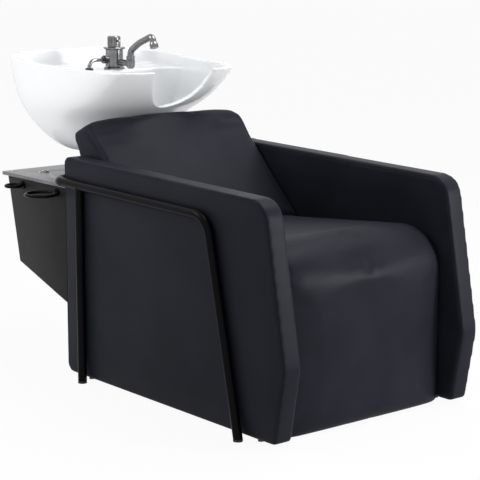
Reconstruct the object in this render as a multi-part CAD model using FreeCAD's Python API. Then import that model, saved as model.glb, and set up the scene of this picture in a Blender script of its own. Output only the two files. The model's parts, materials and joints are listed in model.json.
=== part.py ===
import FreeCAD, Part
import math
import os

# Salon backwash unit: wash chair, plumbing cabinet, tilting ceramic bowl and mixer tap.
# Millimetres, +Z up. The sitter faces -Y, so the sitter's left is +X.
# A place along the length is given as f, the distance ahead of the arms' rear face.
# The origin is on the floor, at the middle of the fixing plate under the bowl.

# Arms
arm_thick = 62.0
arm_seat_gap = 4.0
arm_bottom_z = 12.0
arm_rear_top_z = 632.0
arm_front_top_z = 616.0
arm_front_top_f = 878.0
arm_knee_f = 957.0
arm_knee_z = 205.0
arm_toe_f = 918.0
arm_rear_corner_r = 30.0
arm_top_corner_r = 62.0
arm_knee_r = 26.0
arm_edge_r = 15.0
core_thick = 18.0
core_inset = 42.0

# Steel tube frame beside and behind the arms
tube_r = 12.5
tube_wall = 2.0
tube_gap = 2.5
rail_rear_z = 561.0
rail_drop = 10.0
leg_top_f = 674.0
leg_foot_f = 797.0
rail_bend_r = 62.0
corner_bend_r = 45.0
cross_tube_gap = 9.5
cross_tube_half = 180.0
post_f = 106.0
cap_thick = 6.0
cap_plug = 14.0
cap_fit = 0.2
saddle_r = 9.0
saddle_places = (0.3, 0.55, 0.8)

# Stations across a pad, as shares of its half-width, and how late its sides draw in
pad_stations = (-1.0, -0.975, -0.92, -0.8, -0.5, 0.0, 0.5, 0.8, 0.92, 0.975, 1.0)
pad_edge_power = 16

# Seat
seat_half = 274.0
seat_rear_f = 300.0
seat_front_f = 885.0
seat_rear_top_z = 437.0
seat_rise = 0.094
seat_pad = 90.0
seat_front_pad = 60.0
seat_front_r = 112.0
seat_rear_r = 18.0
seat_toe_r = 14.0
seat_bottom_z = 5.0
seat_crown = 8.0
seat_draw_in = 15.0
seat_board_thick = 15.0
rail_board_thick = 20.0
rail_bottom_z = 60.0
front_board_thick = 18.0
glide_r = 8.0
glide_inset = 44.0

# Backrest
back_arm_gap = 15.0
back_sum = 749.0
back_thick = 95.0
back_top_f = 22.0
back_top_rear_f = -38.0
back_top_rear_z = 688.0
back_kink_z = 625.0
back_corner_r = 22.0
back_gap = 0.6
back_crown = 7.0
back_top_share = 0.4
back_draw_in = 13.0
back_board_thick = 15.0
back_board_top_z = 600.0
back_board_inset = 13.0
cleat_thick = 30.0
cleat_wide = 40.0
cleat_top_z = 530.0
cleat_foot_f = 270.0

# Plumbing cabinet behind the chair
board = 18.0
panel = 15.0
cabinet_half = 296.0
cabinet_top_z = 530.0
cabinet_rear_top_f = -362.0
cabinet_rear_low_f = -306.0
cabinet_rear_low_z = 277.0
cabinet_slope = 0.333
cabinet_tube_gap = 0.3
batten = 22.0
plate_thick = 10.0
plate_overhang = 10.0
plate_rear_over = 18.0
plate_corner_r = 4.0
tail_hole_r = 36.0
hose_port_x = -212.0
hose_port_f = -288.0
hose_port_r = 9.0
hose_port_lip = 3.0
hose_port_bevel = 1.0
plate_screw_r = 4.0
plate_screw_high = 2.4
plate_screw_top_r = 2.6
plate_screw_inset = 24.0
plate_screw_step = 19.0
access_screw_r = 6.0
access_screw_high = 3.0
access_screw_places = (0.12, 0.88)

# Tool rings on the cabinet's near side
ring_z = 510.0
ring_plate = 3.0
ring_plate_r = 12.0
ring_stem = 2.0
ring_wire_r = 5.0
dryer_ring_r = 44.0
dryer_ring_f = -96.0
tongs_ring_r = 22.0
tongs_ring_f = -280.0

# Floor stand that carries the bowl
column_side = 80.0
column_wall = 4.0
floor_plate_side = 220.0
floor_plate_thick = 10.0
anchor_pitch = 170.0
anchor_r = 7.0
head_half = 130.0
head_rear_f = -300.0
head_thick = 10.0
gusset_thick = 8.0
gusset_drop = 110.0
gusset_reach = 100.0

# Tilt hinge under the bowl
pivot_f = -138.0
pivot_z = 572.0
pin_r = 6.0
pin_run = 0.05
ear_thick = 8.0
ear_inner_x = 60.0
ear_r = 14.0
hinge_base_thick = 6.0
hinge_base_front_f = -96.0
hinge_base_rear_f = -156.0
lug_thick = 8.0
washer_thick = 1.4
washer_play = 0.3
washer_r = 12.0
pin_head_r = 10.0
pin_head_thick = 6.0
cradle_half = 85.0
cradle_rear_f = -296.0
cradle_front_f = -124.0
cradle_bottom_z = 590.0
cradle_thick = 6.0
cradle_pad_thick = 4.0
tilt_limit = 15.0
bumper_r = 10.0
bumper_x = 55.0
bumper_back = 30.0
bumper_clear = 0.6

# Ceramic bowl. A row of bowl_levels gives height, rear end, front end, half-width, and how square the
# section is behind and ahead.
# A row of rim_points gives a place along the length and the rim's height there.
bowl_levels = (
    (606.0, -296.0, -132.0, 138.0, 2.6, 2.6),
    (650.0, -356.0, -100.0, 200.0, 2.8, 2.7),
    (700.0, -412.0, -62.0, 228.0, 3.0, 2.7),
    (745.0, -448.0, 24.0, 244.0, 3.3, 2.9),
    (800.0, -470.0, 90.0, 252.0, 3.6, 4.0),
    (862.0, -480.0, 130.0, 256.0, 3.8, 6.0),
    (905.0, -484.0, 152.0, 258.0, 3.8, 6.4),
)
bowl_taper = 0.12
bowl_wall = 17.0
rim_points = (
    (-560.0, 896.0),
    (-470.0, 886.0),
    (-330.0, 873.0),
    (-150.0, 864.0),
    (20.0, 860.0),
    (260.0, 852.0),
)
rim_over = 60.0
foot_half = 100.0
foot_rear_f = -306.0
foot_front_f = -124.0
foot_high = 20.0
foot_corner_r = 30.0
ledge_z = 832.0
ledge_thick = 16.0
ledge_front_f = -258.0
basin_floor_z = 626.0
basin_step = 3.0
basin_rear_half = 246.0
basin_rear_corner_r = 110.0
notch_half = 105.0
notch_top_z = 872.0
notch_bottom_z = 745.0
notch_rear_f = -60.0
notch_front_f = 280.0
recess_wall = 20.0
recess_front_f = -268.0
recess_low_z = 672.0
recess_mouth_half = 120.0
recess_mouth_rear_f = -400.0
recess_mouth_front_f = -276.0
section_points = 28

# Waste fitting in the bowl
waste_f = -195.0
waste_tube_r = 21.0
waste_bore_r = 17.0
waste_fit = 1.0
waste_disc_r = 34.0
waste_disc_thick = 4.0
waste_lip_r = 32.0
waste_lip_in_r = 29.0
waste_dish_r = 26.0
waste_dish = 2.0
waste_gasket_thick = 2.0
waste_tube_low_z = 562.0
waste_nut_across = 58.0
waste_nut_high = 11.0
waste_tail_r = 20.0
waste_tail_low_z = 470.0
strainer_hole_r = 3.2
strainer_pitch_r = 9.0
strainer_holes = 6

# Mixer tap on the ledge
tap_x = 47.0
tap_f = -293.0
body_r = 27.0
body_top_z = 890.0
base_flange_r = 32.0
base_flange_high = 6.0
base_flange_slope = 3.0
edge_break = 2.0
shank_r = 16.0
shank_fit = 1.0
shank_low_z = 756.0
shank_nut_across = 42.0
shank_nut_high = 12.0
cartridge_r = 17.0
cartridge_fit = 0.1
cartridge_low_z = 850.0
collar_r = 34.0
collar_high = 8.0
knob_gap = 0.4
knob_r = 20.0
knob_high = 33.0
knob_flutes = 16
flute_r = 1.6
flute_below_top = 4.0
knob_round = 3.0
spindle_below_top = 6.0
spindle_r = 5.0
lever_r = 3.0
lever_long = 9.0
lever_below_top = 14.0
lever_sunk = 4.0
inlet_r = 5.0
inlet_pitch = 14.0
inlet_low_z = 690.0

# Rigid outlet elbow beside the mixer
elbow_z = 862.0
elbow_r = 6.0
elbow_bend_r = 23.0
elbow_x = -45.0
elbow_low_z = 780.0
elbow_nut_across = 22.0
elbow_nut_long = 16.0
elbow_nut_sunk = 6.0
gland_r = 12.0
gland_high = 6.0
gland_neck_r = 8.6
gland_hole_r = 9.0
gland_fit = 0.2

# Handset and its swivel holder
arm_reach = 86.0
arm_z = 853.0
arm_r = 10.0
holder_r = 13.0
holder_half = 10.0
swivel_r = 8.0
swivel_run = 0.05
socket_r = 12.5
socket_high = 13.0
socket_gap = 0.3
spigot_below = 5.0
clip_thick = 2.0
clip_r = 10.5
plug_r = 8.0
plug_fit = 0.3
plug_deep = 9.0
grip_r = 10.0
grip_rise = 14.0
grip_bend_r = 23.0
grip_mid_reach = 44.0
grip_mid_climb = 26.0
grip_mid_bend_r = 150.0
grip_reach = 110.0
grip_climb = 50.0
head_dip_reach = 6.0
head_dip = 18.0
head_bend_r = 13.0
spray_neck_r = 10.5
spray_r = 13.0
spray_long = 16.0
spray_neck_share = 0.4
spray_face_r = 10.5
spray_face_thick = 2.0

# How far a cut runs past a face, how nearly round an eye's end is, and when two places are one
through = 1.0
eye_share = 0.99
same_place = 1e-6

# Values that follow from the sizes above
arm_inner_x = seat_half + arm_seat_gap
arm_outer_x = arm_inner_x + arm_thick
back_half = arm_inner_x - back_arm_gap
back_board_half = back_half - back_board_inset
core_x0 = arm_inner_x + (arm_thick - core_thick) / 2
tube_x = arm_outer_x + tube_gap + tube_r
cross_f = -cross_tube_gap - tube_r
cabinet_front_f = cross_f - tube_r - cabinet_tube_gap
column_front_f = cabinet_front_f - board
stand_f = column_front_f - column_side / 2
plate_top_z = cabinet_top_z + plate_thick
plate_half = cabinet_half + plate_overhang
plate_rear_f = cabinet_rear_top_f - plate_rear_over
cradle_top_z = cradle_bottom_z + cradle_thick
foot_z = cradle_top_z + cradle_pad_thick
ear_outer_x = ear_inner_x + ear_thick
lug_outer_x = ear_inner_x - washer_thick - 2 * washer_play
collar_top_z = body_top_z + collar_high
knob_low_z = collar_top_z + knob_gap
knob_top_z = knob_low_z + knob_high
ledge_low_z = ledge_z - ledge_thick
holder_f = tap_f + arm_reach
holder_top_z = arm_z + holder_half
socket_low_z = holder_top_z + socket_gap
socket_top_z = socket_low_z + socket_high

parts = {}


def vec(x, f, z):
    """Point of the part's frame from across, ahead and up."""
    return FreeCAD.Vector(x, stand_f - f, z)


def block(x0, x1, f0, f1, z0, z1):
    """Box between two corners, with f0 behind f1."""
    return Part.makeBox(x1 - x0, f1 - f0, z1 - z0, vec(x0, f1, z0))


def rod(p, q, r):
    """Round bar from point p to point q."""
    axis = q.sub(p)
    return Part.makeCylinder(r, axis.Length, p, axis)


def upright(x, f, z0, z1, r):
    """Round bar standing at x, f."""
    return rod(vec(x, f, z0), vec(x, f, z1), r)


def mirrored(shape):
    """The same piece on the other side of the mid-plane."""
    return shape.mirror(FreeCAD.Vector(0, 0, 0), FreeCAD.Vector(1, 0, 0))


def path_edges(points, radii):
    """Straight runs through the points, with a tangent arc of the given radius at each inner point."""
    edges = []
    start = points[0]
    for before, corner, after, r in zip(points, points[1:], points[2:], radii):
        u = before.sub(corner).normalize()
        w = after.sub(corner).normalize()
        half = u.getAngle(w) / 2
        reach = r / math.tan(half)
        first = corner.add(FreeCAD.Vector(u).multiply(reach))
        last = corner.add(FreeCAD.Vector(w).multiply(reach))
        bisector = u.add(w).normalize()
        middle = corner.add(FreeCAD.Vector(bisector).multiply(r / math.sin(half) - r))
        edges.append(Part.LineSegment(start, first).toShape())
        edges.append(Part.Arc(first, middle, last).toShape())
        start = last
    edges.append(Part.LineSegment(start, points[-1]).toShape())
    return edges


def swept(points, radii, r):
    """Round bar of radius r along straight runs and tangent arcs."""
    spine = Part.Wire(path_edges(points, radii))
    run = points[1].sub(points[0])
    ring = Part.Wire(Part.makeCircle(r, points[0], run))
    return spine.makePipeShell([ring], True, False)


def outline(points, radii):
    """Closed wire through the points, each corner rounded by its radius, 0 for a sharp one."""
    count = len(points)
    edges = []
    starts = []
    ends = []
    middles = []
    for i, r in enumerate(radii):
        corner = points[i]
        u = points[i - 1].sub(corner).normalize()
        w = points[(i + 1) % count].sub(corner).normalize()
        half = u.getAngle(w) / 2
        reach = r / math.tan(half)
        starts.append(corner.add(FreeCAD.Vector(u).multiply(reach)))
        ends.append(corner.add(FreeCAD.Vector(w).multiply(reach)))
        bisector = u.add(w).normalize()
        middles.append(corner.add(FreeCAD.Vector(bisector).multiply(r / math.sin(half) - r)))
    for i, r in enumerate(radii):
        if r > 0:
            edges.append(Part.Arc(starts[i], middles[i], ends[i]).toShape())
        edges.append(Part.LineSegment(ends[i], starts[(i + 1) % count]).toShape())
    return Part.Wire(edges)


def side_wire(corners, x):
    """Closed side outline at x from rows of f, z and corner radius."""
    points = [vec(x, f, z) for f, z, r in corners]
    return outline(points, [r for f, z, r in corners])


def side_prism(corners, x0, x1):
    """Side outline carried straight across from x0 to x1."""
    return Part.Face(side_wire(corners, x0)).extrude(FreeCAD.Vector(x1 - x0, 0, 0))


def flat_prism(corners, z0, z1):
    """Level outline from rows of x, f and corner radius, carried up from z0 to z1."""
    points = [vec(x, f, z0) for x, f, r in corners]
    wire = outline(points, [r for x, f, r in corners])
    return Part.Face(wire).extrude(FreeCAD.Vector(0, 0, z1 - z0))


def rounded_plate(half, rear_f, front_f, r, z0, z1):
    """Level rectangle with rounded corners."""
    corners = [(-half, rear_f, r), (half, rear_f, r), (half, front_f, r), (-half, front_f, r)]
    return flat_prism(corners, z0, z1)


def hex_bar(p, q, across):
    """Hexagonal bar from p to q, by its size across the flats."""
    axis = q.sub(p)
    corner_r = across / math.sqrt(3)
    side = axis.cross(FreeCAD.Vector(0, 1, 0)).normalize()
    up = axis.cross(side).normalize()
    points = []
    for i in range(7):
        turn = math.radians(60 * i)
        arm = FreeCAD.Vector(side).multiply(corner_r * math.cos(turn))
        rise = FreeCAD.Vector(up).multiply(corner_r * math.sin(turn))
        points.append(p.add(arm).add(rise))
    return Part.Face(Part.makePolygon(points)).extrude(axis)


def turned(profile, x, f):
    """Solid turned about the upright axis at x, f from rows of radius and height."""
    points = [vec(x + r, f, z) for r, z in profile]
    points.append(points[0])
    face = Part.Face(Part.makePolygon(points))
    return face.revolve(vec(x, f, 0), FreeCAD.Vector(0, 0, 1), 360)


def group(shapes):
    """Several like pieces in one node."""
    return Part.makeCompound(shapes)


def build_arms():
    """Upholstered side arms, each padded round a board that is open at its foot."""
    pad_corners = [
        (0.0, arm_bottom_z, arm_rear_corner_r),
        (0.0, arm_rear_top_z, arm_rear_corner_r),
        (arm_front_top_f, arm_front_top_z, arm_top_corner_r),
        (arm_knee_f, arm_knee_z, arm_knee_r),
        (arm_toe_f, arm_bottom_z, arm_edge_r),
    ]
    core_corners = [
        (core_inset, arm_bottom_z, 0),
        (core_inset, arm_rear_top_z - core_inset, 0),
        (arm_front_top_f - core_inset, arm_front_top_z - core_inset, 0),
        (arm_knee_f - core_inset, arm_knee_z, 0),
        (arm_toe_f - core_inset, arm_bottom_z, 0),
    ]
    pad = side_prism(pad_corners, arm_inner_x, arm_outer_x)
    side_edges = [edge for edge in pad.Edges if edge.BoundBox.XLength < same_place]
    pad = pad.makeFillet(arm_edge_r, side_edges)
    core = side_prism(core_corners, core_x0, core_x0 + core_thick)
    pad = pad.cut(core)
    parts["arm_pad_left"] = pad
    parts["arm_pad_right"] = mirrored(pad)
    parts["arm_cores"] = group([core, mirrored(core)])


def rail_height(f):
    """Height of the side rail's centre line at f."""
    return rail_rear_z - rail_drop * f / leg_top_f


def build_tube_frame():
    """Bent side tubes, rear cross tube, rear posts, end caps and saddles."""
    leg_lean = (leg_foot_f - leg_top_f) / (rail_height(leg_top_f) - cap_thick)
    route = [
        vec(tube_x, leg_foot_f + leg_lean * tube_r, cap_thick - tube_r),
        vec(tube_x, leg_top_f, rail_height(leg_top_f)),
        vec(tube_x, cross_f, rail_rear_z),
        vec(cross_tube_half, cross_f, rail_rear_z),
    ]
    bends = [rail_bend_r, corner_bend_r]
    under = block(arm_outer_x, arm_outer_x + 4 * tube_r, leg_top_f, arm_knee_f, -4 * tube_r, cap_thick)
    outer = swept(route, bends, tube_r).cut(under)
    side_tube = outer.cut(swept(route, bends, tube_r - tube_wall))
    parts["side_tube_left"] = side_tube
    parts["side_tube_right"] = mirrored(side_tube)
    ends = (vec(-cross_tube_half, cross_f, rail_rear_z), vec(cross_tube_half, cross_f, rail_rear_z))
    parts["rear_cross_tube"] = rod(*ends, tube_r).cut(rod(*ends, tube_r - tube_wall))
    post_solid = upright(tube_x, post_f, cap_thick, rail_height(post_f), tube_r)
    post_bore = upright(tube_x, post_f, cap_thick, rail_height(post_f), tube_r - tube_wall)
    post = max(post_solid.cut(post_bore).cut(outer).Solids, key=lambda solid: solid.Volume)
    parts["rear_posts"] = group([post, mirrored(post)])
    caps = []
    cap_plug_r = tube_r - tube_wall - cap_fit
    leg_run = route[1].sub(route[0]).normalize().multiply(cap_plug)
    for x in (-tube_x, tube_x):
        post_plug = upright(x, post_f, cap_thick, cap_thick + cap_plug, cap_plug_r)
        caps.append(upright(x, post_f, 0, cap_thick, tube_r).fuse(post_plug))
        heel = vec(x, leg_foot_f, cap_thick)
        leg_plug = rod(heel, heel.add(leg_run), cap_plug_r)
        caps.append(upright(x, leg_foot_f, 0, cap_thick, tube_r).fuse(leg_plug))
    parts["tube_end_caps"] = group(caps)
    saddles = []
    for share in saddle_places:
        f = leg_top_f * share
        boss = rod(vec(arm_outer_x, f, rail_height(f)), vec(tube_x, f, rail_height(f)), saddle_r).cut(outer)
        saddle = min(boss.Solids, key=lambda solid: solid.CenterOfMass.x)
        saddles += [saddle, mirrored(saddle)]
    parts["rail_saddles"] = group(saddles)


def seat_line(f, below=0.0):
    """Height at f of the sloping seat, measured down from the pad's top line."""
    return seat_rear_top_z + seat_rise * (f - seat_rear_f) - below


def seat_section(x, grow):
    """Seat pad outline at x, with its top and front moved out by grow."""
    inner_f = seat_front_f - seat_front_pad
    front_f = seat_front_f + grow
    corners = [
        (seat_rear_f, seat_line(seat_rear_f, seat_pad), 0),
        (seat_rear_f, seat_line(seat_rear_f) + grow, seat_rear_r),
        (front_f, seat_line(front_f) + grow, seat_front_r),
        (front_f, seat_bottom_z, seat_toe_r),
        (inner_f, seat_bottom_z, 0),
        (inner_f, seat_line(inner_f, seat_pad), 0),
    ]
    return side_wire(corners, x)


def pillow(section, half, crown, draw_in):
    """Pad lofted across its width, drawn in at the sides and crowned in the middle."""
    wires = []
    for share in pad_stations:
        grow = crown * (1 - share ** 2) - draw_in * share ** pad_edge_power
        wires.append(section(share * half, grow))
    return Part.makeLoft(wires, True, False)


def build_seat():
    """Waterfall seat pad on its board, rails and front board, with glides."""
    inner_f = seat_front_f - seat_front_pad
    parts["seat_cushion"] = pillow(seat_section, seat_half, seat_crown, seat_draw_in)
    under = seat_pad + seat_board_thick
    board_corners = [
        (seat_rear_f, seat_line(seat_rear_f, seat_pad), 0),
        (inner_f, seat_line(inner_f, seat_pad), 0),
        (inner_f, seat_line(inner_f, under), 0),
        (seat_rear_f, seat_line(seat_rear_f, under), 0),
    ]
    parts["seat_board"] = side_prism(board_corners, -seat_half, seat_half)
    front_rear_f = inner_f - front_board_thick
    front_corners = [
        (front_rear_f, seat_bottom_z, 0),
        (inner_f, seat_bottom_z, 0),
        (inner_f, seat_line(inner_f, under), 0),
        (front_rear_f, seat_line(front_rear_f, under), 0),
    ]
    parts["seat_front_board"] = side_prism(front_corners, -seat_half, seat_half)
    rail_corners = [
        (seat_rear_f, rail_bottom_z, 0),
        (front_rear_f, rail_bottom_z, 0),
        (front_rear_f, seat_line(front_rear_f, under), 0),
        (seat_rear_f, seat_line(seat_rear_f, under), 0),
    ]
    rail_inner_x = arm_inner_x - rail_board_thick
    rail = side_prism(rail_corners, rail_inner_x, arm_inner_x)
    parts["seat_side_rails"] = group([rail, mirrored(rail)])
    cross_corners = [
        (seat_rear_f, rail_bottom_z, 0),
        (seat_rear_f + front_board_thick, rail_bottom_z, 0),
        (seat_rear_f + front_board_thick, seat_line(seat_rear_f + front_board_thick, under), 0),
        (seat_rear_f, seat_line(seat_rear_f, under), 0),
    ]
    parts["seat_rear_rail"] = side_prism(cross_corners, -rail_inner_x, rail_inner_x)
    glides = []
    glide_f = inner_f - front_board_thick / 2
    arm_mid_x = core_x0 + core_thick / 2
    for side in (-1, 1):
        glides.append(upright(side * (seat_half - glide_inset), glide_f, 0, seat_bottom_z, glide_r))
        for f in (core_inset + glide_inset, arm_toe_f - core_inset - glide_inset):
            glides.append(upright(side * arm_mid_x, f, 0, arm_bottom_z, glide_r))
    parts["floor_glides"] = group(glides)


def back_section(x, grow):
    """Backrest outline at x: sloping front face, chamfered top and a rear face that thickens down."""
    low_f = seat_rear_f - back_gap
    face = back_sum + grow * math.sqrt(2)
    rear = back_sum - back_thick * math.sqrt(2)
    corners = [
        (low_f, rear - low_f, 0),
        (low_f, face - low_f, seat_rear_r),
        (back_top_f, face - back_top_f + back_top_share * grow, back_corner_r),
        (back_top_rear_f - back_top_share * grow, back_top_rear_z + back_top_share * grow, back_corner_r),
        (rear - back_kink_z, back_kink_z, 0),
    ]
    return side_wire(corners, x)


def build_back():
    """Backrest pad, its board and the cleats that hold the board to the arms."""
    parts["back_cushion"] = pillow(back_section, back_half, back_crown, back_draw_in)
    low_f = seat_rear_f - back_gap
    front = back_sum - back_thick * math.sqrt(2)
    rear = front - back_board_thick * math.sqrt(2)
    board_corners = [
        (low_f, front - low_f, 0),
        (front - back_board_top_z, back_board_top_z, 0),
        (rear - back_board_top_z, back_board_top_z, 0),
        (low_f, rear - low_f, 0),
    ]
    parts["back_board"] = side_prism(board_corners, -back_board_half, back_board_half)
    foot = rear - cleat_wide * math.sqrt(2)
    cleat_corners = [
        (cleat_foot_f, rear - cleat_foot_f, 0),
        (rear - cleat_top_z, cleat_top_z, 0),
        (foot - cleat_top_z, cleat_top_z, 0),
        (cleat_foot_f, foot - cleat_foot_f, 0),
    ]
    cleat = side_prism(cleat_corners, arm_inner_x - cleat_thick, arm_inner_x)
    parts["back_cleats"] = group([cleat, mirrored(cleat)])


def cabinet_floor(f):
    """Height at f of the cabinet's sloping underside."""
    return cabinet_rear_low_z - cabinet_slope * (f - cabinet_rear_low_f)


def build_cabinet():
    """Hanging cabinet of boards with a removable access panel and a steel top plate."""
    inner_x = cabinet_half - board
    side_corners = [
        (cabinet_rear_top_f, cabinet_top_z, 0),
        (cabinet_rear_low_f, cabinet_rear_low_z, 0),
        (cabinet_front_f, cabinet_floor(cabinet_front_f), 0),
        (cabinet_front_f, cabinet_top_z, 0),
    ]
    side = side_prism(side_corners, inner_x, cabinet_half)
    parts["cabinet_side_left"] = side
    parts["cabinet_side_right"] = mirrored(side)
    front_corners = [
        (column_front_f, cabinet_floor(column_front_f), 0),
        (cabinet_front_f, cabinet_floor(cabinet_front_f), 0),
        (cabinet_front_f, cabinet_top_z, 0),
        (column_front_f, cabinet_top_z, 0),
    ]
    parts["cabinet_front"] = side_prism(front_corners, -inner_x, inner_x)
    access_corners = [
        (cabinet_rear_top_f, cabinet_top_z, 0),
        (cabinet_rear_low_f, cabinet_rear_low_z, 0),
        (cabinet_rear_low_f + panel, cabinet_floor(cabinet_rear_low_f + panel), 0),
        (cabinet_rear_top_f + panel, cabinet_top_z, 0),
    ]
    parts["access_panel"] = side_prism(access_corners, -inner_x, inner_x)
    floor_rear_f = cabinet_rear_low_f + panel
    floor_lean = (cabinet_rear_top_f - cabinet_rear_low_f) / (cabinet_top_z - cabinet_floor(floor_rear_f))
    floor_corners = [
        (floor_rear_f, cabinet_floor(floor_rear_f), 0),
        (column_front_f, cabinet_floor(column_front_f), 0),
        (column_front_f, cabinet_floor(column_front_f) + panel, 0),
        (floor_rear_f + floor_lean * panel, cabinet_floor(floor_rear_f) + panel, 0),
    ]
    floor = side_prism(floor_corners, -inner_x, inner_x)
    column_half = column_side / 2
    column_space = block(-column_half, column_half, stand_f - column_half, column_front_f, 0, cabinet_top_z)
    parts["cabinet_floor"] = floor.cut(column_space)
    battens = []
    for side in (-1, 1):
        x0, x1 = sorted((side * inner_x, side * (inner_x - batten)))
        rear_f = cabinet_rear_top_f + panel + batten
        battens.append(block(x0, x1, rear_f, column_front_f, cabinet_top_z - batten, cabinet_top_z))
    parts["cabinet_battens"] = group(battens)
    build_top_plate()
    build_access_screws(inner_x)


def build_top_plate():
    """Grey plate over the cabinet, with the waste hole, the hose port and its screws."""
    plate = rounded_plate(plate_half, plate_rear_f, cabinet_front_f, plate_corner_r,
                          cabinet_top_z, plate_top_z)
    plate = plate.cut(upright(0, waste_f, 0, plate_top_z + through, tail_hole_r))
    plate = plate.cut(upright(hose_port_x, hose_port_f, 0, plate_top_z + through, hose_port_r))
    parts["top_plate"] = plate
    bore_r = hose_port_r - hose_port_lip
    rim_r = hose_port_r + hose_port_lip
    port_profile = [
        (bore_r, cabinet_top_z),
        (hose_port_r, cabinet_top_z),
        (hose_port_r, plate_top_z),
        (rim_r, plate_top_z),
        (rim_r - hose_port_bevel, plate_top_z + hose_port_lip),
        (bore_r, plate_top_z + hose_port_lip),
    ]
    parts["hose_port"] = turned(port_profile, hose_port_x, hose_port_f)
    screws = [(hose_port_x - plate_screw_step, hose_port_f)]
    for x in (-plate_half + plate_screw_inset, plate_half - plate_screw_inset):
        for f in (plate_rear_f + plate_screw_inset, cabinet_front_f - plate_screw_inset):
            screws.append((x, f))
    head_profile = [
        (0, plate_top_z),
        (plate_screw_r, plate_top_z),
        (plate_screw_top_r, plate_top_z + plate_screw_high),
        (0, plate_top_z + plate_screw_high),
    ]
    parts["plate_screws"] = group([turned(head_profile, x, f) for x, f in screws])


def build_access_screws(inner_x):
    """Thumb screws that hold the access panel, square to its leaning face."""
    lean = FreeCAD.Vector(0, cabinet_rear_low_f - cabinet_rear_top_f, 0)
    lean.z = cabinet_rear_low_z - cabinet_top_z
    lean.y = -lean.y
    out = lean.cross(FreeCAD.Vector(1, 0, 0)).normalize()
    if out.y < 0:
        out.multiply(-1)
    screws = []
    for share in access_screw_places:
        f = cabinet_rear_top_f + share * (cabinet_rear_low_f - cabinet_rear_top_f)
        z = cabinet_top_z + share * (cabinet_rear_low_z - cabinet_top_z)
        for x in (-inner_x + plate_screw_inset, inner_x - plate_screw_inset):
            foot = vec(x, f, z)
            tip = foot.add(FreeCAD.Vector(out).multiply(access_screw_high))
            screws.append(rod(foot, tip, access_screw_r))
    parts["access_screws"] = group(screws)


def tool_ring(ring_r, f):
    """Wire ring on a short stem and a round wall plate, on the cabinet's near side."""
    centre_x = -cabinet_half - ring_plate - ring_stem - ring_wire_r - ring_r
    wall = rod(vec(-cabinet_half, f, ring_z), vec(-cabinet_half - ring_plate, f, ring_z), ring_plate_r)
    stem = rod(vec(-cabinet_half - ring_plate, f, ring_z), vec(centre_x + ring_r, f, ring_z), ring_wire_r)
    ring = Part.makeTorus(ring_r, ring_wire_r, vec(centre_x, f, ring_z))
    return wall.fuse(stem).fuse(ring)


def build_tool_rings():
    """Two tool rings under the plate's edge."""
    parts["dryer_ring"] = tool_ring(dryer_ring_r, dryer_ring_f)
    parts["tongs_ring"] = tool_ring(tongs_ring_r, tongs_ring_f)


def build_stand():
    """Floor plate, square column and cantilever head that carry the bowl."""
    half = floor_plate_side / 2
    floor_plate = block(-half, half, stand_f - half, stand_f + half, 0, floor_plate_thick)
    for x in (-anchor_pitch / 2, anchor_pitch / 2):
        for f in (stand_f - anchor_pitch / 2, stand_f + anchor_pitch / 2):
            floor_plate = floor_plate.cut(upright(x, f, -through, floor_plate_thick + through, anchor_r))
    parts["floor_plate"] = floor_plate
    column_half = column_side / 2
    bore_half = column_half - column_wall
    head_low_z = cabinet_top_z - head_thick
    column = block(-column_half, column_half, stand_f - column_half, column_front_f,
                   floor_plate_thick, head_low_z)
    bore = block(-bore_half, bore_half, stand_f - bore_half, stand_f + bore_half,
                 floor_plate_thick, head_low_z)
    parts["stand_column"] = column.cut(bore)
    head = block(-head_half, head_half, head_rear_f, column_front_f, head_low_z, cabinet_top_z)
    parts["stand_head"] = head.cut(upright(0, waste_f, 0, cabinet_top_z + through, tail_hole_r))
    column_rear_f = stand_f - column_half
    gusset_corners = [
        (column_rear_f, head_low_z, 0),
        (column_rear_f - gusset_reach, head_low_z, 0),
        (column_rear_f, head_low_z - gusset_drop, 0),
    ]
    gusset = side_prism(gusset_corners, column_half - gusset_thick, column_half)
    parts["stand_gussets"] = group([gusset, mirrored(gusset)])


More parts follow.
